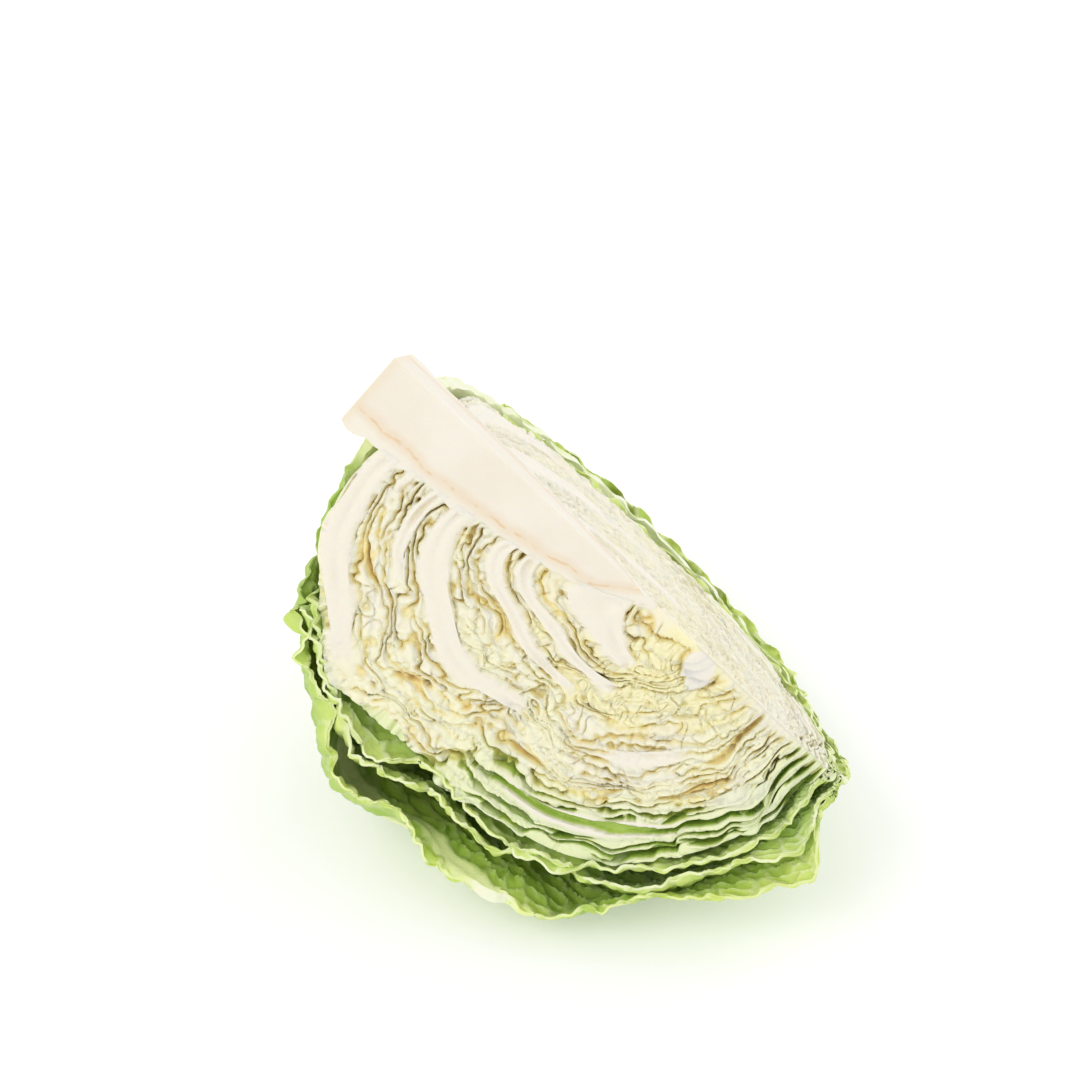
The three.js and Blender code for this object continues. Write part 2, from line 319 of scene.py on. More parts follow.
core_points, core_off, core_along = core_grid()
core_rows, core_columns = core_off.shape
last_row = (core_rows - 1) * core_columns
core_faces = grid_faces(core_rows, core_columns).tolist()
core_faces.append(tuple(range(core_columns))[::-1])
core_faces.append(tuple(last_row + i for i in range(core_columns)))
core_ring = core_off - np.interp(core_along, VESSELS_ALONG, VESSELS_RADIUS)
core = make_piece(
    "cut_core",
    core_points.reshape(-1, 3),
    core_faces,
    np.zeros(len(core_faces)),
    {"ring": core_ring, "along": core_along},
    "core",
)
core.data.materials.append(pith_material())

# The head's leaves grow one inside the other, each on an arch from the core over the shoulder to the
# top, with a pale crumpled blade and a thick smooth ivory rib. They are packed so tightly that each is
# made as one solid that fills its room, and creases, folds and hollows are cut into both cut faces.
SHOULDER_RADIUS = (6, 24, 34, 57, 89, 98)
START_ALONG = (97, 90, 72, 41, 12, 6)  # where an arch leaves the core
SHOULDER_ALONG = (107, 105, 96, 90, 85, 91)  # where it is widest
END_ALONG = (114, 120, 126, 141, 162, 168)  # where it comes back to the axis
LOWER_ROUNDNESS = (2, 2, 1.9, 1.75, 2, 2.1)  # 1 is a straight line and 2 a quarter ellipse
UPPER_ROUNDNESS = (2, 2, 2, 1.9, 2, 2.2)
OUTER_RADIUS = 98.0
HEART_RADIUS = 6.5
WRAPPERS = 3  # the first ones of the leaves are the loose ones
# From the outside in: the rib's angle at the base and at the tip, its thickness, and the weight of the
# room that the leaf is given.
LEAVES = (
    ("wrapper_leaf_1", 44, -28, 4.6, 4.0),
    ("wrapper_leaf_2", 84, 96, 6.0, 4.2),
    ("wrapper_leaf_3", 50, 64, 6.0, 3.4),
    ("head_leaf_01", 0, -24, 8.2, 1.3),
    ("head_leaf_02", 95, 90, 8.0, 1.2),
    ("head_leaf_03", -40, 16, 9.0, 1.1),
    ("head_leaf_04", 48, 58, 7.0, 1.0),
    ("head_leaf_05", -16, -30, 5.5, 1.0),
    ("head_leaf_06", 92, 104, 8.5, 1.0),
    ("head_leaf_07", 1, -18, 9.6, 1.0),
    ("head_leaf_08", 125, 100, 5.5, 1.0),
    ("head_leaf_09", -62, 20, 8.0, 0.9),
    ("head_leaf_10", 60, 70, 6.0, 0.9),
    ("head_leaf_11", 12, 0, 5.4, 0.9),
    ("head_leaf_12", 90, 82, 7.4, 0.9),
    ("head_leaf_13", -2, -12, 7.5, 0.9),
    ("head_leaf_14", 60, 60, 4.0, 0.8),
    ("head_leaf_15", 4, 14, 5.5, 0.8),
    ("heart_leaf_1", 70, 90, 3.0, 0.7),
    ("heart_leaf_2", 10, 20, 2.0, 0.7),
)
BLADE = 1.7  # blade thickness
WRAPPER_BLADE = 0.9
ROW_STEP = 0.42  # between the grid rows of a cut face, at a middling leaf
LEAF_COLUMNS = 13  # across each leaf's edge
SKIN_COLUMNS = 22  # from cut face to cut face
OUTSIDE_COLUMNS = 84  # the same, on the outside of the outermost head leaf
RIDGE_ROUNDING = 0.5  # the edge between the two cut faces
RIB_BASE_WIDTH, RIB_TIP_WIDTH, RIB_TAPER = 13.0, 4.0, 0.8
CUT_CLEARANCE = 0.6  # between neighbouring leaves
MOST_FILLED = 0.85  # of the room between heart and outside, the part that leaves may take
LEAST_SPREAD = 0.25
LONG_RIBS = (5, 11)  # the leaves whose rib shows as a pale band as far as the top
MIDDLE_RADIUS = 72  # of the arch that the rows of all cut faces are spaced on
LEAF_PITCH = 4.6  # about this from leaf to leaf across a cut face
BUD_ALONG, BUD_OFF, BUD_RADIUS = 117, 4.5, 5.2  # the closed bud at the heart, on the front face
HEART_ALONG, HEART_OFF = 112, 8  # the middle of the crumpled heart
FACE_SEED, FACE_SEED_STEP = 1000, 50
INNER_TONE_FROM = 13  # the leaf from which the inner tone is used
IVORY = (0.84, 0.79, 0.675)
PALE_GREEN = (0.74, 0.82, 0.44)
# Painted light and shade of the creases and hollows in the cut flesh: a pale and a deeper amber glow for
# light passed through the leaves, and a dark green shade for the outer leaves.
PAINTED_GLOW_PALE, PAINTED_GLOW_DEEP, PAINTED_SHADE_GREEN = (0.94, 0.83, 0.44), (0.88, 0.71, 0.36), (0.52, 0.68, 0.15)
HEAD_TONES = (("pale head leaf", (0.87, 0.835, 0.60)), ("inner head leaf", (0.88, 0.82, 0.51)))


def arch(share, radius):
    """Distance along the axis and from it, on the arch with that shoulder radius. The share runs from
    0 on the core by 0.5 at the shoulder to 1 on the axis, and both halves are quarters of a superellipse."""
    start, shoulder, end, low, up = (
        np.interp(radius, SHOULDER_RADIUS, column)
        for column in (START_ALONG, SHOULDER_ALONG, END_ALONG, LOWER_ROUNDNESS, UPPER_ROUNDNESS)
    )
    foot = np.interp(start, CORE_ALONG, CORE_RADIUS) - 0.8
    turn_cos, turn_sin = np.cos(np.pi * share), np.clip(np.sin(np.pi * share), 0, 1)
    below = share <= 0.5
    power = 2 / np.where(below, low, up)
    reach = np.abs(turn_cos) ** power
    along = shoulder + np.where(below, -(shoulder - start), end - shoulder) * reach
    off = np.where(below, foot + (radius - foot) * turn_sin**power, radius * turn_sin**power)
    return along, off


def arch_spread(share, radius):
    """How far apart two arches lie, square to them, per millimetre of shoulder radius."""
    back, ahead = (np.stack(arch(np.clip(share + d, 0, 1), radius)) for d in (-0.01, 0.01))
    inside, outside = (np.stack(arch(share, radius + d)) for d in (-0.5, 0.5))
    run = ahead - back
    run /= np.linalg.norm(run, axis=0) + 1e-9
    across = outside - inside
    return np.maximum(LEAST_SPREAD, np.abs(run[0] * across[1] - run[1] * across[0]))


def leaf_thickness(leaf, share, angle):
    """The blade's thickness plus a rib, which is a bell across the leaf and fades toward the tip."""
    _, rib_from, rib_to, rib, _ = leaf
    radius = np.maximum(CORE_RADIUS[0], arch(share, OUTER_RADIUS)[1]) * 0.6
    distance = radius * np.radians(angle - (rib_from + (rib_to - rib_from) * share))
    width = RIB_TIP_WIDTH + (RIB_BASE_WIDTH - RIB_TIP_WIDTH) * (1 - share)
    bell = np.exp(-((distance / width) ** 2))
    blade = WRAPPER_BLADE if leaf[0].startswith("wrapper") else BLADE
    return blade + rib * np.clip(1 - share, 0, 1) ** RIB_TAPER * bell, bell


def leaf_borders(share, angle):
    """Where the leaves end at each place, from the outside in, as shoulder radii. There is one more
    border than there are leaves. The thicknesses are laid down first, and the room that is left is
    shared out by the leaves' weights. Also gives half of each leaf's thickness in mm and the spreads."""
    pitch = (OUTER_RADIUS - HEART_RADIUS) / len(LEAVES)
    roomy = np.clip((share - 0.3) / 0.2, 0, 1)
    roomy = roomy * roomy * (3 - 2 * roomy)
    spreads = [arch_spread(share, OUTER_RADIUS - (i + 0.5) * pitch) for i in range(len(LEAVES))]
    solids = [leaf_thickness(leaf, share, angle)[0] / spread for leaf, spread in zip(LEAVES, spreads)]
    rooms = [
        1 + (leaf[4] - 1) * roomy if i < WRAPPERS else leaf[4] + 0 * roomy
        for i, leaf in enumerate(LEAVES)
    ]
    available = OUTER_RADIUS - HEART_RADIUS - sum(CUT_CLEARANCE / spread for spread in spreads)
    squeeze = np.minimum(1, MOST_FILLED * available / sum(solids))
    spare = (available - squeeze * sum(solids)) / sum(rooms)
    widths = [
        squeeze * solid + CUT_CLEARANCE / spread + spare * room
        for solid, spread, room in zip(solids, spreads, rooms)
    ]
    borders = [OUTER_RADIUS + 0 * widths[0]]
    for width in widths:
        borders.append(borders[-1] - width)
    halves = [squeeze * solid * spread / 2 for solid, spread in zip(solids, spreads)]
    return borders, halves, spreads


def even_rows(radius, step):
    """Shares of an arch that lie about that many millimetres apart along it."""
    fine = np.linspace(0, 1, 1200)
    along, off = arch(fine, np.full(1200, float(radius)))
    run = np.concatenate(((0,), np.cumsum(np.hypot(np.diff(along), np.diff(off)))))
    return np.interp(np.linspace(0, run[-1], int(run[-1] / step) + 2), run, fine)


def unit(vectors):
    """The vectors at length one."""
    return vectors / (np.linalg.norm(vectors, axis=-1, keepdims=True) + 1e-12)


def smooth_step(value, low, high):
    """0 below the low value, 1 above the high one, and a smooth rise between them."""
    rise = np.clip((value - low) / (high - low), 0, 1)
    return rise * rise * (3 - 2 * rise)


def run_along(along, off):
    """The distance from the first row to each point, down the columns of a grid."""
    steps = np.hypot(np.diff(along, axis=0), np.diff(off, axis=0))
    return np.concatenate((0 * along[:1], np.cumsum(steps, axis=0)))


def face_columns(share, side):
    """The columns of a cut face, from the outermost head leaf in to the axis, with a fixed number to
    each leaf. Gives their arches' shoulder radii, the leaf each belongs to counted with a fraction, 1
    where the rib was cut through, and how tight the leaf's room is against the usual."""
    borders, halves, spreads = leaf_borders(share, 90.0 * side)
    borders[-1] = 1.0 + 0 * share
    radius, leaf_place, rib_mask, narrow = [], [], [], []
    for i in range(WRAPPERS, len(LEAVES)):
        across = np.linspace(0, 1, LEAF_COLUMNS + 1)[None, (0 if i == WRAPPERS else 1):]
        radius.append(borders[i] + (borders[i + 1] - borders[i]) * across)
        leaf_place.append(i + across + 0 * share)
        width = np.abs(borders[i] - borders[i + 1]) * spreads[i]
        beside = np.abs(across - 0.5) * width - halves[i]
        fade = smooth_step(share, *((0.24, 0.36) if i < WRAPPERS + 2 else (0.44, 0.58)))
        thick = smooth_step(2 * halves[i], 2.4, 4.0) * (0.8 if i in LONG_RIBS else 1 - fade)
        rib_mask.append(thick * (1 - smooth_step(beside, -0.5, 0.5)))
        narrow.append(np.minimum(1, LEAF_PITCH / width) + 0 * across)
    return [np.concatenate(parts, axis=1) for parts in (radius, leaf_place, rib_mask, narrow)]


def cut_face(side):
    """One whole cut face of the head as a grid, with rows along the arches. Gives the places on the
    face, how deep it is hollowed at each, and the fields its colour follows. The depth is the sum of
    creases that follow the leaf borders with a wandering phase, open gaps, the axils beside the core,
    round lumps, sharp folds and a few deep hollows. Smooth ribs and the bud are left out of it."""
    share = even_rows(MIDDLE_RADIUS, ROW_STEP)[:, None]
    radius, leaf_place, rib_mask, narrow = face_columns(share, side)
    along, off = arch(share, radius)
    run = run_along(along, off)
    seed = FACE_SEED + FACE_SEED_STEP * side
    flat = np.stack((along, off, 0 * off), -1)
    warp = smooth_step(run, 4, 30) * smooth_step(off, 2, 14) * (1 - 0.5 * rib_mask)
    small_warp = 0.6 * warp * (1 - rib_mask)
    along = along + 1.3 * warp * waves(flat, 30, seed)[0] + small_warp * waves(flat, 10, seed + 1)[0]
    off = off + 1.3 * warp * waves(flat, 30, seed + 2)[0] + small_warp * waves(flat, 10, seed + 3)[0]
    stretch = 0.42 + 0.58 * np.exp(-(((share - 0.42) / 0.16) ** 2))
    strip = np.concatenate((0 * run[:1], np.cumsum(np.diff(run, axis=0) * stretch[1:], axis=0)))
    leafwise = np.stack((strip, LEAF_PITCH * leaf_place, 0 * run), -1)
    flat = np.stack((along, off, 0 * off), -1)
    free = 1 - rib_mask
    loose = smooth_step(share, 0.42, 0.6) * smooth_step(-leaf_place, -8.5, -4.5)
    wander = 0.36 * waves(leafwise, 10.5, seed + 4)[0] + 0.18 * waves(leafwise, 5.6, seed + 5)[0]
    wander += 0.12 * waves(flat, 3.6, seed + 6)[0] * (1 - 0.5 * loose)
    phase = 2 * np.pi * (leaf_place + wander * free * smooth_step(off, 1, 9) * (1 - 0.45 * loose))
    turn = np.cos(phase)
    patch = waves(flat, 24, seed + 7)[0]
    opening = (0.09 + 0.075 * waves(flat, 10, seed + 8)[0] + 0.2 * loose) * narrow
    lip = 1 - 2 * np.clip(opening, 0.01, 1)
    gap = smooth_step(-turn, lip - 0.35, lip + 0.25)
    axil = np.exp(-run / 9) * smooth_step(run, 0.3, 3)
    deep_gap = 0.95 + 0.65 * np.clip(waves(flat, 15, seed + 9)[0], -1.2, 2.5) + 2.2 * axil + 7.0 * loose
    heart = np.exp(-(((along - HEART_ALONG) / 17) ** 2) - ((off - HEART_OFF) / 15) ** 2)
    hollow = smooth_step(waves(leafwise, 12, seed + 10)[0] + 0.5 * axil, 1.45, 2.3)
    hollow = hollow * free * smooth_step(run, 2, 8)
    hollow *= 1 - smooth_step(heart, 0.2, 0.6)
    bent = flat + 0.9 * np.stack([waves(flat, 6, seed + 20 + i)[0] for i in range(3)], -1)
    folds = np.exp(-((waves(bent, 3.6, seed + 11)[0] / 0.5) ** 2))
    middle = np.exp(-(((share - 0.47) / 0.15) ** 2))
    grain = smooth_step(patch + 0.9 * middle + 2.2 * heart, -0.6, 0.9)
    grain = grain * free * smooth_step(run, 8 - 5 * heart, 26 - 20 * heart)
    fine = waves(flat, 1.9, seed + 12)[0]
    lumps = np.exp(-((waves(bent, 7.0, seed + 30)[0] / 0.42) ** 2))
    lump_depth = (0.95 - 0.35 * grain) * (1 - 0.6 * loose) * lumps
    deep = free * (0.35 + 0.5 * (1 - turn) * (1.5 - grain) + lump_depth)
    deep += gap * deep_gap * (0.45 + 0.55 * free)
    swelling = 0.12 * (1 + waves(flat, 16, seed + 13)[0])
    deep += 3.0 * hollow + grain * (0.55 * folds + 0.1 * fine) + swelling
    if side == 0:
        bud_away = np.hypot(along - BUD_ALONG, off - BUD_OFF) / BUD_RADIUS
        bud = 1 - smooth_step(bud_away, 0.75, 1.02)
        moat = 1.8 * np.exp(-(((bud_away - 1.06) / 0.13) ** 2))
        deep = deep * (1 - bud) + bud * 0.9 * bud_away**2 + moat
        rib_mask = np.maximum(rib_mask, 0.8 * bud)
    deep *= (1 - 0.4 * side) * smooth_step(off, 0.0, 5.0) * (0.25 + 0.75 * smooth_step(run, 0.2, 3.0))
    deep = np.maximum(deep, 0.06) + 0.7 * np.exp(-off / 0.7)
    off = np.maximum(off, RIDGE_ROUNDING)
    outward = smooth_step(-leaf_place, -9.5, -3.4) * smooth_step(share, 0.36, 0.62)
    fields = {
        "deep": deep,
        "rib": rib_mask,
        "grain": grain,
        # Painted light: the side cut face is made paler than the front one, half way to ivory.
        "pale": 0.5 * side + 0 * off,
        "green": outward * (1 - 0.7 * side),
    }
    return along, off, deep, fields


def weld(mesh, distance):
    """Joins the points of a mesh that coincide, and drops the faces that collapse."""
    work = bmesh.new()
    work.from_mesh(mesh)
    bmesh.ops.remove_doubles(work, verts=work.verts, dist=distance)
    bmesh.ops.dissolve_degenerate(work, edges=work.edges, dist=distance / 4)
    work.to_mesh(mesh)
    work.free()


def head_leaf_piece(index, fronts, skins, name):
    """A closed head leaf: its strip of either cut face, and its outer and inner skin between them. The
    skins are kept deeper than the creases at their borders, so that they never stand out of them."""
    first = (index - WRAPPERS) * LEAF_COLUMNS
    strip = slice(first, first + LEAF_COLUMNS + 1)
    grids, fields = [], {key: [] for key in fronts[0][3]}
    for side, (along, off, deep, face_fields) in enumerate(fronts):
        across, into = (off, deep) if side == 0 else (deep, off)
        grids.append(np.stack((along, across, into), -1)[:, strip])
        for key, values in face_fields.items():
            fields[key].append(values[:, strip])
    for border, column in ((index, 0), (index + 1, -1)):
        skin = skins[border].copy()
        for axis, side in ((2, 0), (1, 1)):
            buried = fields["deep"][side][:, column][:, None] + 0.12 + 0.4 * skin[..., axis]
            skin[..., axis] = np.maximum(skin[..., axis], buried)
        ends = [grids[side][:, column][:, None] for side in (0, 1)]
        grids.append(np.concatenate((ends[0], skin, ends[1]), axis=1))
        for key in fields:
            ends = [fields[key][side][:, column][:, None] for side in (0, 1)]
            between = ends[0] + (ends[1] - ends[0]) * np.linspace(0, 1, skin.shape[1])[None, :]
            fields[key].append(np.concatenate((ends[0], between, ends[1]), axis=1))
    fields["deep"][2] = fields["deep"][2] * 0
    if index == WRAPPERS:
        up_the_leaf = smooth_step(np.linspace(0, 1, len(along))[:, None], 0.05, 0.3)
        fields["rib"][2] = 0 * fields["rib"][2]
        fields["green"][2] = 0.35 + 0.65 * up_the_leaf + fields["rib"][2]
    rows = len(along)
    faces, cut, start, starts = [], [], 0, []
    for grid, flip, is_cut in zip(grids, (True, False, False, True), (1, 1, 0, 0)):
        quads = grid_faces(rows, grid.shape[1], start, flip)
        faces += quads.tolist()
        cut += [is_cut] * len(quads)
        starts.append(start)
        start += rows * grid.shape[1]
    columns = grids[0].shape[1]
    outer_columns, inner_columns = grids[2].shape[1], grids[3].shape[1]
    base = [starts[0] + i for i in range(columns)]
    base += [starts[3] + i for i in range(1, inner_columns - 1)]
    base += [starts[1] + i for i in reversed(range(columns))]
    base += [starts[2] + i for i in reversed(range(1, outer_columns - 1))]
    faces.append(base)
    cut.append(0)
    points = np.concatenate([grid.reshape(-1, 3) for grid in grids])
    values = {key: np.concatenate([part.ravel() for part in parts]) for key, parts in fields.items()}
    piece = make_piece(name, points, faces, np.array(cut), values, LEAVES[index][0])
    weld(piece.data, 0.00001)
    crease_cut_edges(piece.data)
    return piece


def skin_grid(border):
    """The surface between two leaves, away from the cut faces, as a grid of points. The outside of the
    head is finer, and has low veins that fan out from the stem."""
    share = even_rows(MIDDLE_RADIUS, ROW_STEP)[:, None]
    columns = OUTSIDE_COLUMNS if border == WRAPPERS else SKIN_COLUMNS
    angle = np.linspace(0, np.pi / 2, columns + 2)[None, 1:-1]
    radius = leaf_borders(share, np.degrees(angle))[0][border]
    along, off = arch(share, radius if border < len(LEAVES) else 1 + 0 * radius)
    points = round_axis(along, np.maximum(off, RIDGE_ROUNDING * 1.3), angle + 0 * share)
    radial = round_axis(0 * along, np.ones_like(off), angle + 0 * share)
    sag = 0.8 * waves(points, 26, 77)[0] + 0.5 * waves(points, 11, 78)[0]
    if border == WRAPPERS:
        bend = 0.22 * waves(points, 45, 79)[0]
        fan = np.cos(26 * (angle + bend * share)) ** 8 + 0.6 * np.cos(41 * (angle - bend * share) + 1) ** 8
        sag += 2.0 * fan * smooth_step(share, 0.02, 0.12) * (1 - smooth_step(share, 0.3, 0.6))
        sag += 0.5 * waves(points, 5.5, 80)[0] * smooth_step(share, 0.08, 0.3)
    sag = smooth_step(off, 3, 20) * np.sin(2 * angle) * sag
    return points + sag[..., None] * radial


def head_materials(name, blade):
    """Leaf skin and cut flesh of one tone. The flesh goes from the blade's colour to ivory on the rib and to
    green outward.
    In the creases and hollows it turns to a painted amber glow, for light passed through the leaves, and
    toward the outer leaves to a painted dark green shade."""
    made = []
    for part, rough in (("skin", 0.45), ("cut flesh", 0.42)):
        material, tree = shader(name + " " + part, rough, coat=0.12, soft=0.25)
        grain = attribute(tree, "grain")
        green = attribute(tree, "green")
        mottle = arith(tree, "ADD", noise(tree, 90, 4), arith(tree, "MULTIPLY", grain, 0.35))
        tint = ramp(tree, mottle, 0.42, 0.85)
        light = tuple(0.45 * a + 0.55 * b for a, b in zip(blade, IVORY))
        colour = blend(tree, tint, light, blade)
        colour = blend(tree, arith(tree, "MULTIPLY", green, 0.75), colour, PALE_GREEN)
        # Painted light: on the side cut face the colour goes half way to ivory.
        colour = blend(tree, attribute(tree, "pale"), colour, IVORY)
        colour = blend(tree, ramp(tree, attribute(tree, "rib"), 0.2, 0.8), colour, IVORY)
        # Painted light and shade: the deeper the crease or hollow, the more the flesh turns to the painted
        # amber glow, and toward the outer leaves to the painted dark green shade.
        deep = arith(tree, "ADD", attribute(tree, "deep"), -0.4)
        deep = arith(tree, "MULTIPLY_ADD", noise(tree, 300, 2), 0.8, deep)
        painted_glow = blend(tree, ramp(tree, deep, 2.2, 5.5), PAINTED_GLOW_PALE, PAINTED_GLOW_DEEP)
        shade = blend(tree, ramp(tree, green, 0.15, 0.7), painted_glow, PAINTED_SHADE_GREEN)
        colour = blend(tree, ramp(tree, deep, 1.0, 3.1, 0, 1), colour, shade)
        finish_shader(tree, colour, noise(tree, 800, 4), 0.00018)
        made.append(material)
    return made


head_shaders = [head_materials(name, blade) for name, blade in HEAD_TONES]
fronts = [cut_face(0), cut_face(1)]
skins = [skin_grid(border) for border in range(len(LEAVES) + 1)]
for index in range(WRAPPERS, len(LEAVES)):
    leaf_name = LEAVES[index][0]
    piece = head_leaf_piece(index, fronts, skins, "crinkled_" + leaf_name)
    for material in head_shaders[index >= INNER_TONE_FROM]:
        piece.data.materials.append(material)

# The wrapper leaves are the loose green ones outside the head. Each is thin and blistered all over
# between its veins, pulled up from the core by its own rib, and cut through with the head.
WRAPPER_STEP = 0.82  # between the grid points beside the cut faces
COLUMN_GROWTH = 1.015  # from each column to the next, away from the cut faces
BLISTER = 7.0  # across one blister
VEIN_SPACING = 17.0  # between the side veins, along the midrib
FIRST_SHARE, LAST_SHARE = 0.004, 0.985  # the part of its arch that a leaf takes up
BLADE_START = (0.228, 0.2216, 0.2152)  # how far up its arch each blade begins beside the rib
EDGE_CLIMB = 24  # degrees from the rib over which the blade's lower edge climbs
THIN_HALF = 0.36  # half the thickness of a blade
LOOSENESS = (1.0, 0.55, 0.2)  # how much of the flare each leaf takes part in, from the outside in
FLAP_SHARING = (1.0, 0.5, 0.2)
WRAPPER_SEED, WRAPPER_SEED_STEP = 400, 20
SHEET_CLEARANCE = 0.5  # of an inner face above the outer one, where they are pressed on the table
LEVEL_STEP = 1.8  # from one pressed leaf to the next
CUT_RIB = (0.84, 0.86, 0.64)
# Of each kind: the blade, a dark green painted as the shade in the gaps between leaves, and its veins.
WRAPPER_TONES = (
    ("wrapper leaf", (0.63, 0.76, 0.17), (0.22, 0.44, 0.03), (0.80, 0.86, 0.42)),
    ("under wrapper leaf", (0.68, 0.79, 0.24), (0.26, 0.50, 0.04), (0.82, 0.87, 0.52)),
)


def cut_columns(radius, step, growth):
    """Angles from one cut face to the other, close together beside the faces and wider between them."""
    half = radius * np.pi / 4
    count = int(np.log(1 + half * (growth - 1) / step) / np.log(growth)) + 2
    run = np.concatenate(((0,), np.cumsum(growth ** np.arange(count))))
    run *= np.pi / 4 / run[-1]
    return np.concatenate((run, (np.pi / 2 - run[::-1])[1:]))


def blisters(east, north, size, seed):
    """Rounded domes that meet in creases. The plane is cut into square cells, each with one random
    centre. The height is how much nearer the nearest centre is than the next, rounded off at the top."""
    rng = np.random.default_rng(seed)
    centres = rng.uniform(0.1, 0.9, (64, 64, 2))
    col, row = np.floor(east / size).astype(int), np.floor(north / size).astype(int)
    far = 9.0
    nearest, second = np.full(east.shape, far), np.full(east.shape, far)
    for i in (-1, 0, 1):
        for j in (-1, 0, 1):
            centre = centres[(col + i) % 64, (row + j) % 64]
            away = np.hypot(
                col + i + centre[..., 0] - east / size,
                row + j + centre[..., 1] - north / size,
            )
            second = np.minimum(second, np.maximum(nearest, away))
            nearest = np.minimum(nearest, away)
    return 1 - np.exp(-3.2 * (second - nearest))


def wrapper_sheet(index):
    """Both faces of a cut wrapper leaf as grids of points, and the fields its colour follows. The
    smooth arch is moved along its normal by a slow sway, a ruffle that grows toward the free edges,
    blisters between the veins, the veins and rib themselves, and where the outer leaves stand away:
    a curled lobe over the shoulder and a flap near the top, both beside the front cut face."""
    leaf = LEAVES[index]
    pitch = (OUTER_RADIUS - HEART_RADIUS) / len(LEAVES)
    typical = OUTER_RADIUS - (index + 0.5) * pitch
    angle = cut_columns(typical, WRAPPER_STEP, COLUMN_GROWTH)[None, :]
    degrees = np.degrees(angle)
    beside = 1 - np.exp(-(((degrees - leaf[1]) / EDGE_CLIMB) ** 2))
    first = FIRST_SHARE + BLADE_START[index] * beside
    rows = even_rows(typical, WRAPPER_STEP)[:, None]
    share = first + (LAST_SHARE - first) * rows
    borders, halves, spreads = leaf_borders(share, degrees)
    half_thick = halves[index]
    half_room = (borders[index] - borders[index + 1]) * spreads[index] / 2 - half_thick
    outermost = borders[0] - half_thick / spreads[0]
    along, off = arch(share, outermost if index == 0 else (borders[index] + borders[index + 1]) / 2)
    smooth = round_axis(along, np.maximum(off, 0.7), angle + 0 * share)
    from_rib = off * np.radians(degrees - (leaf[1] + (leaf[2] - leaf[1]) * share))
    bell = np.exp(-((from_rib / (1.6 + 5.5 * (1 - share))) ** 2))
    run = unit(np.gradient(smooth, axis=0))
    radial = round_axis(0 * along, np.ones_like(off), angle + 0 * share)
    ahead = np.array((1.0, 0, 0))
    normal = unit(run[..., :1] * radial - (run * radial).sum(-1, keepdims=True) * ahead)
    steps = np.linalg.norm(np.diff(smooth, axis=0), axis=-1)
    length = np.concatenate((0 * off[:1], np.cumsum(steps, axis=0)))
    seed = WRAPPER_SEED + WRAPPER_SEED_STEP * index
    sway = waves(smooth, 46, seed)[0] * 1.8 + waves(smooth, 20, seed + 1)[0] * 0.8
    ruffle = waves(smooth, 8.5, seed + 2)[0] * 0.55 + waves(smooth, 3.9, seed + 3)[0] * 0.32
    wavering = 2.5 * waves(smooth, 30, seed + 7)[0]
    lean = (length - 0.8 * np.abs(from_rib) + wavering + 7 * (from_rib > 0)) / VEIN_SPACING
    from_vein = np.abs(lean - np.round(lean)) * VEIN_SPACING * 0.75
    vein = np.exp(-((from_vein / 0.9) ** 2)) * smooth_step(-np.abs(from_rib), -55, -5)
    free = (1 - smooth_step(bell, 0.3, 0.8)) * (1 - 0.85 * vein)
    near_cut = np.minimum(smooth[..., 1], smooth[..., 2])
    edge = np.exp(-near_cut / 7) + smooth_step(-(share - first), -0.12, 0.0)
    domes = blisters(length, angle * typical, BLISTER, seed + 4)
    small = blisters(length + 3.1, angle * typical, BLISTER * 0.45, seed + 5)
    lift = (domes * 1.9 + small * 0.4) * free
    lift *= 1 - 0.55 * np.exp(-((near_cut / 7) ** 2)) * smooth_step(share, 0.42, 0.55)
    lift += 0.9 * vein * (1 - bell) + 1.6 * bell**2
    flap = 7.0 * np.exp(-(((share - 0.875) / 0.05) ** 2))
    flap += 12.0 * np.exp(-(((share - 0.93) / 0.028) ** 2))
    lift += flap * np.exp(-((degrees / 18) ** 2)) * FLAP_SHARING[index]
    flare = np.exp(-(((share - 0.39) / 0.11) ** 2)) * LOOSENESS[index]
    lift += flare * (5.5 * np.exp(-(((degrees - 13) / 11) ** 2)) - 7.0 * np.exp(-((degrees / 5) ** 2)))
    lobe = np.exp(-(((share - 0.42) / 0.05) ** 2)) * np.exp(-((degrees / 20) ** 2))
    lift += 12.0 * lobe * LOOSENESS[index]
    move = sway * np.clip(half_room / 2, 0, 1) + ruffle * free * (0.35 + 0.75 * edge) + lift - 1.0
    sheet = smooth + (move * smooth_step(share, 0.0, 0.07))[..., None] * normal
    true_normal = unit(np.cross(np.gradient(sheet, axis=0), np.gradient(sheet, axis=1)))
    true_normal *= np.sign((true_normal * normal).sum(-1, keepdims=True).mean())
    for column, flat_axis in ((0, 2), (-1, 1)):
        true_normal[:, column, flat_axis] = 0
        true_normal[:, column] = unit(true_normal[:, column])
    thick = THIN_HALF + (np.maximum(half_thick, 1.6) - THIN_HALF) * bell
    faces = [sheet + true_normal * thick[..., None], sheet - true_normal * thick[..., None]]
    ragged = np.clip(0.1 + 0.7 * (1 + waves(smooth, 9, seed + 6)[0]), 0.1, 3) * (near_cut < 40)
    for face in faces:
        for axis in (2, 1):
            edge_place = ragged * np.exp(-smooth[..., axis] / 3) + 0.05
            face[..., axis] = np.maximum(face[..., axis], edge_place)
    fields = {
        "rib": bell,
        "deep": near_cut,
        "vein": np.clip(domes * free, 0, 1) * (1 - bell),
    }
    return faces, {key: np.stack((values, values)) for key, values in fields.items()}


def press_flat(points, level):
    """Points of a face raised to its level above the table wherever they lie below it."""
    height = to_row(points)[..., 2]
    up = HEAD[:, 2]
    return points + np.maximum(level - height, 0)[..., None] * up


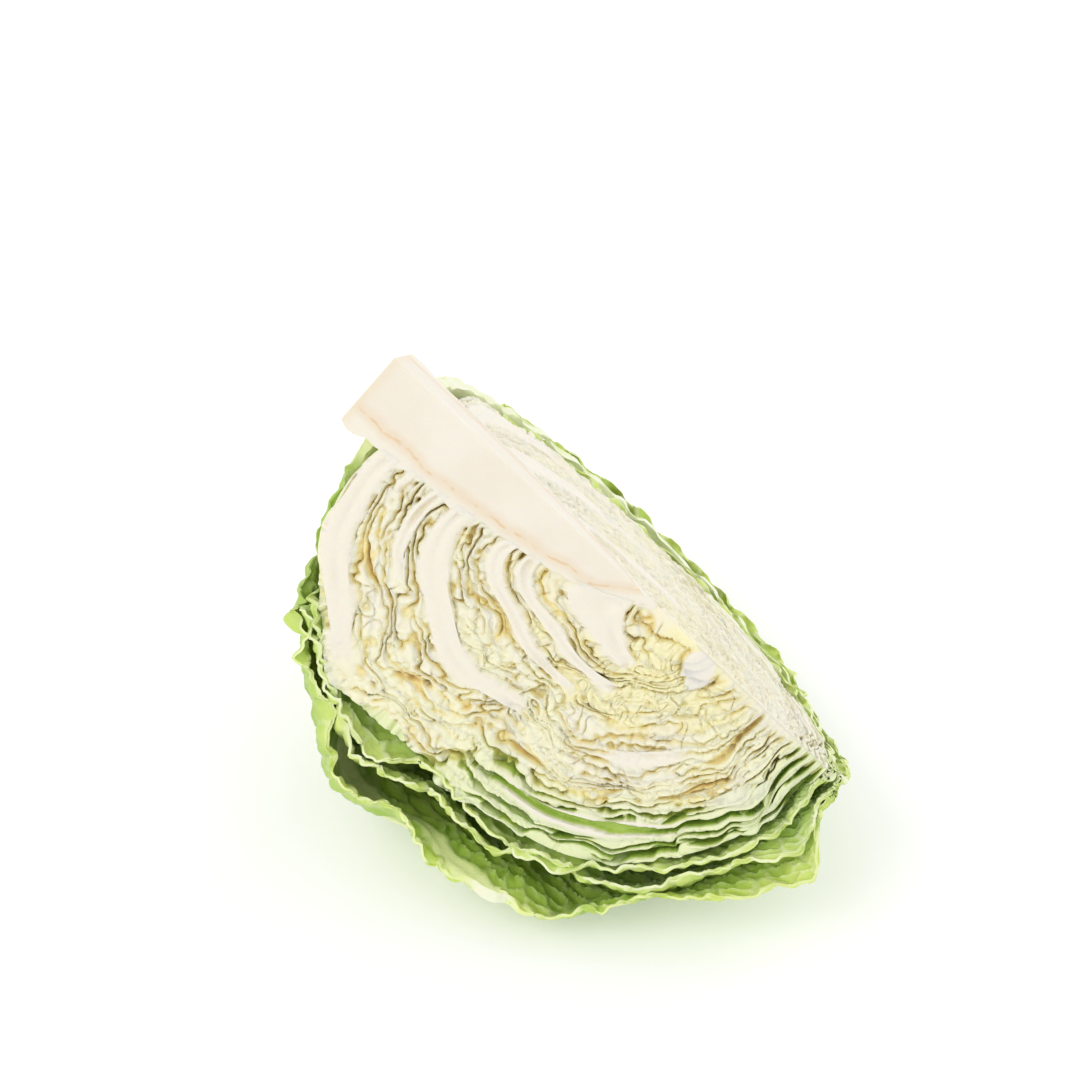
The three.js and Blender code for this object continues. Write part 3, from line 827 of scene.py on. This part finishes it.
def shell_piece(name, faces, fields, node_name, level):
    """A closed leaf from the grids of its outer and inner face, with rims all round. The rims on the
    cut faces take the second material."""
    faces = [press_flat(faces[0], level), press_flat(faces[1], level + SHEET_CLEARANCE)]
    rows, columns = faces[0].shape[:2]
    count = rows * columns
    outer = grid_faces(rows, columns)
    inner = grid_faces(rows, columns, start=count, flip=True)
    down = np.arange(rows - 1) * columns
    across = np.arange(columns - 1)
    last = (rows - 1) * columns
    front = np.stack((down, down + columns, down + columns + count, down + count), 1)
    end = down + columns - 1
    side = np.stack((end, end + count, end + columns + count, end + columns), 1)
    base = np.stack((across, across + count, across + 1 + count, across + 1), 1)
    tip = np.stack((last + across, last + across + 1, last + across + 1 + count, last + across + count), 1)
    quads = np.concatenate((outer, inner, front, side, base, tip))
    cut = np.zeros(len(quads))
    cut[2 * len(outer) : 2 * len(outer) + len(front) + len(side)] = 1
    points = np.concatenate([face.reshape(-1, 3) for face in faces])
    return make_piece(name, points, quads.tolist(), cut, fields, node_name)


def wrapper_materials(name, blade, shade, vein):
    """Green leaf skin, paler along the veins between the blisters and, away from the cut faces, turned toward
    a painted dark green shade for the gaps between leaves; and the thin cut edge, which is paler still."""
    skin, tree = shader(name + " skin", 0.4, coat=0.1, soft=0.1)
    darker = tuple(0.6 * a + 0.4 * b for a, b in zip(blade, shade))
    colour = blend(tree, ramp(tree, noise(tree, 60, 4), 0.35, 0.7), blade, darker)
    colour = blend(tree, ramp(tree, attribute(tree, "vein"), 0.1, 0.5, 0.75, 0), colour, vein)
    # Painted shade: the skin goes up to 0.45 of the way to the dark green, from 1 to 9 mm away from the cut
    # faces.
    painted_gap_shade = ramp(tree, attribute(tree, "deep"), 1.0, 9.0, 0, 0.45)
    colour = blend(tree, painted_gap_shade, colour, shade)
    colour = blend(tree, ramp(tree, attribute(tree, "rib"), 0.3, 0.8), colour, vein)
    finish_shader(tree, colour, noise(tree, 900, 4), 0.0002)
    flesh, tree = shader(name + " cut edge", 0.42, coat=0.1, soft=0.15)
    pale = tuple(0.45 * a + 0.55 * b for a, b in zip(blade, vein))
    colour = blend(tree, ramp(tree, noise(tree, 160, 3), 0.35, 0.65), pale, vein)
    colour = blend(tree, ramp(tree, attribute(tree, "rib"), 0.3, 0.8), colour, CUT_RIB)
    finish_shader(tree, colour, noise(tree, 900, 3), 0.0001)
    return skin, flesh


wrapper_shaders = [wrapper_materials(*tone) for tone in WRAPPER_TONES]
for index in range(WRAPPERS):
    sheet_faces, sheet_fields = wrapper_sheet(index)
    leaf_name = LEAVES[index][0]
    piece = shell_piece(
        "blistered_" + leaf_name,
        sheet_faces,
        sheet_fields,
        leaf_name,
        LEVEL_STEP * index,
    )
    for material in wrapper_shaders[min(index, 1)]:
        piece.data.materials.append(material)
